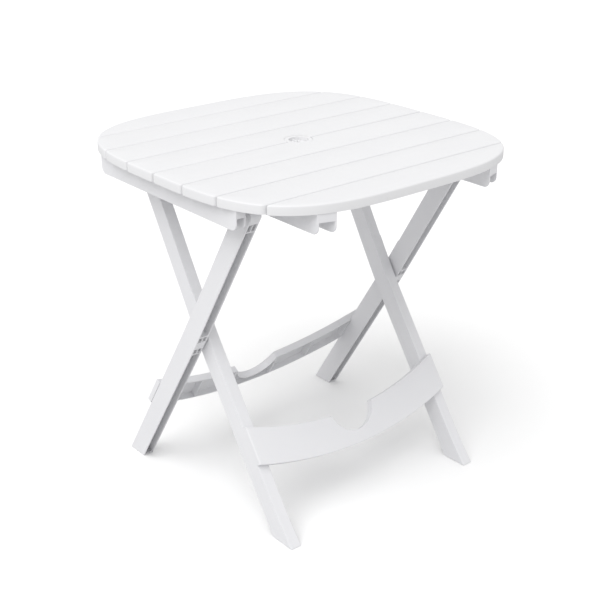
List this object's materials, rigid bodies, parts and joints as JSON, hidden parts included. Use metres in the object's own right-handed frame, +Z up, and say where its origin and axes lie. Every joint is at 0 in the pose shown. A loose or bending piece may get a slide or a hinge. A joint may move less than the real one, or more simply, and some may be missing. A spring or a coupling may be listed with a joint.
{
  "type": "folding resin side table",
  "caption": "Folding table with a rounded square slatted top on two crossing channel-section leg frames tied by curved stretchers with hand notches.",
  "frame": {"origin": "on the floor under the middle of the top", "axes": "+X along the slats, -Y towards the front stretcher, +Z up"},
  "size_m": [0.692, 0.702, 0.711],
  "materials": {
    "slat_resin": "satin moulded resin",
    "frame_resin": "satin moulded resin",
    "pin_resin": "smooth moulded resin"
  },
  "bodies": {
    "table_top": {"slat_1": "slat_resin", "slat_2": "slat_resin", "slat_3": "slat_resin", "slat_4": "slat_resin", "slat_5": "slat_resin", "slat_6": "slat_resin", "slat_7": "slat_resin", "slat_8": "slat_resin", "sunshade_ring": "slat_resin", "inner_rail_left": "frame_resin", "inner_rail_right": "frame_resin", "side_rail_left": "frame_resin", "side_rail_right": "frame_resin", "catch_left": "frame_resin", "catch_right": "frame_resin", "hinge_pin_left": "pin_resin", "hinge_pin_right": "pin_resin"},
    "plug": {"sunshade_plug": "slat_resin"},
    "outer_frame": {"outer_leg_left": "frame_resin", "outer_leg_right": "frame_resin", "rear_stretcher": "frame_resin", "pivot_pin_left": "pin_resin", "pivot_pin_right": "pin_resin", "pivot_washer_left": "pin_resin", "pivot_washer_right": "pin_resin"},
    "inner_frame": {"inner_leg_left": "frame_resin", "inner_leg_right": "frame_resin", "front_stretcher": "frame_resin", "slide_peg_left": "pin_resin", "slide_peg_right": "pin_resin"}
  },
  "joints": [
    {"name": "leg_scissor", "type": "hinge", "parent": "outer_frame", "child": "inner_frame", "pos_m": [0, -0.005, 0.358], "axis": [1, 0, 0], "range_deg": [0, 61.3]},
    {"name": "top_hinge", "type": "hinge", "parent": "table_top", "child": "outer_frame", "pos_m": [0, -0.189, 0.668], "axis": [1, 0, 0], "range_deg": [-30.7, 0]},
    {"name": "plug_lift", "type": "slide", "parent": "table_top", "child": "plug", "axis": [0, 0, 1], "range_m": [0, 0.03]}
  ],
  "couplings": [
    {"joint": "top_hinge", "follows": "leg_scissor", "ratio": -0.5}
  ]
}
